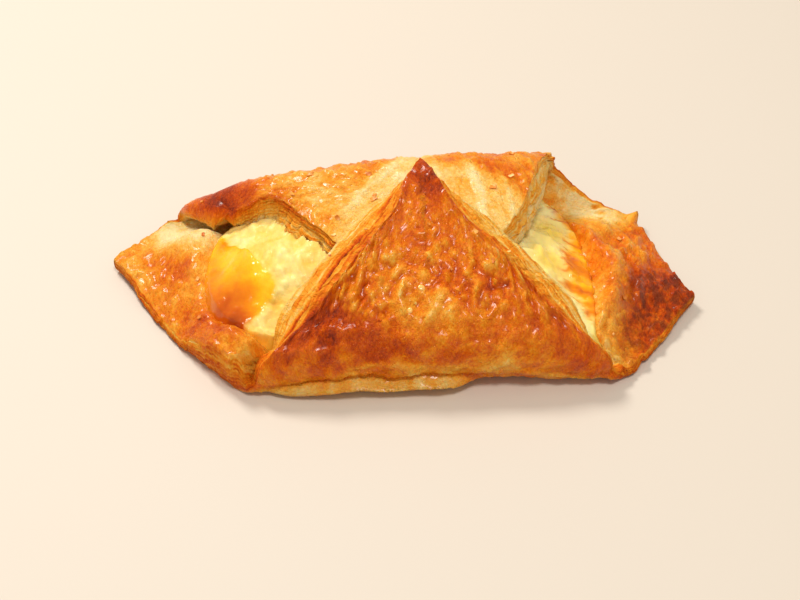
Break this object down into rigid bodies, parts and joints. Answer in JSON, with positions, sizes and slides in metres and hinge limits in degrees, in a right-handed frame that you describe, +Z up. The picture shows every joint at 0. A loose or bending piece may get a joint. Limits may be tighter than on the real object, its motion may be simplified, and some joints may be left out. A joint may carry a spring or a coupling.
{
  "type": "danish pastry",
  "caption": "Oblong danish pastry: a sheet of laminated dough with its front and back corners folded over a baked custard filling that shows in a pocket on the left and right.",
  "frame": {"origin": "centre of the box's underside, on the surface that the pastry rests on", "axes": "+X from the left tip to the right tip, +Y from the front fold to the back fold, +Z up"},
  "size_m": [0.1676, 0.0848, 0.04],
  "materials": {
    "baked_dough": "flaky baked dough with an egg glaze, orange brown on the folds, pale cream on the cut layers",
    "baked_custard": "soft baked custard, pale yellow with glossy orange browned patches"
  },
  "bodies": {
    "root": {"pastry": "baked_dough", "custard_filling": "baked_custard"}
  },
  "joints": []
}
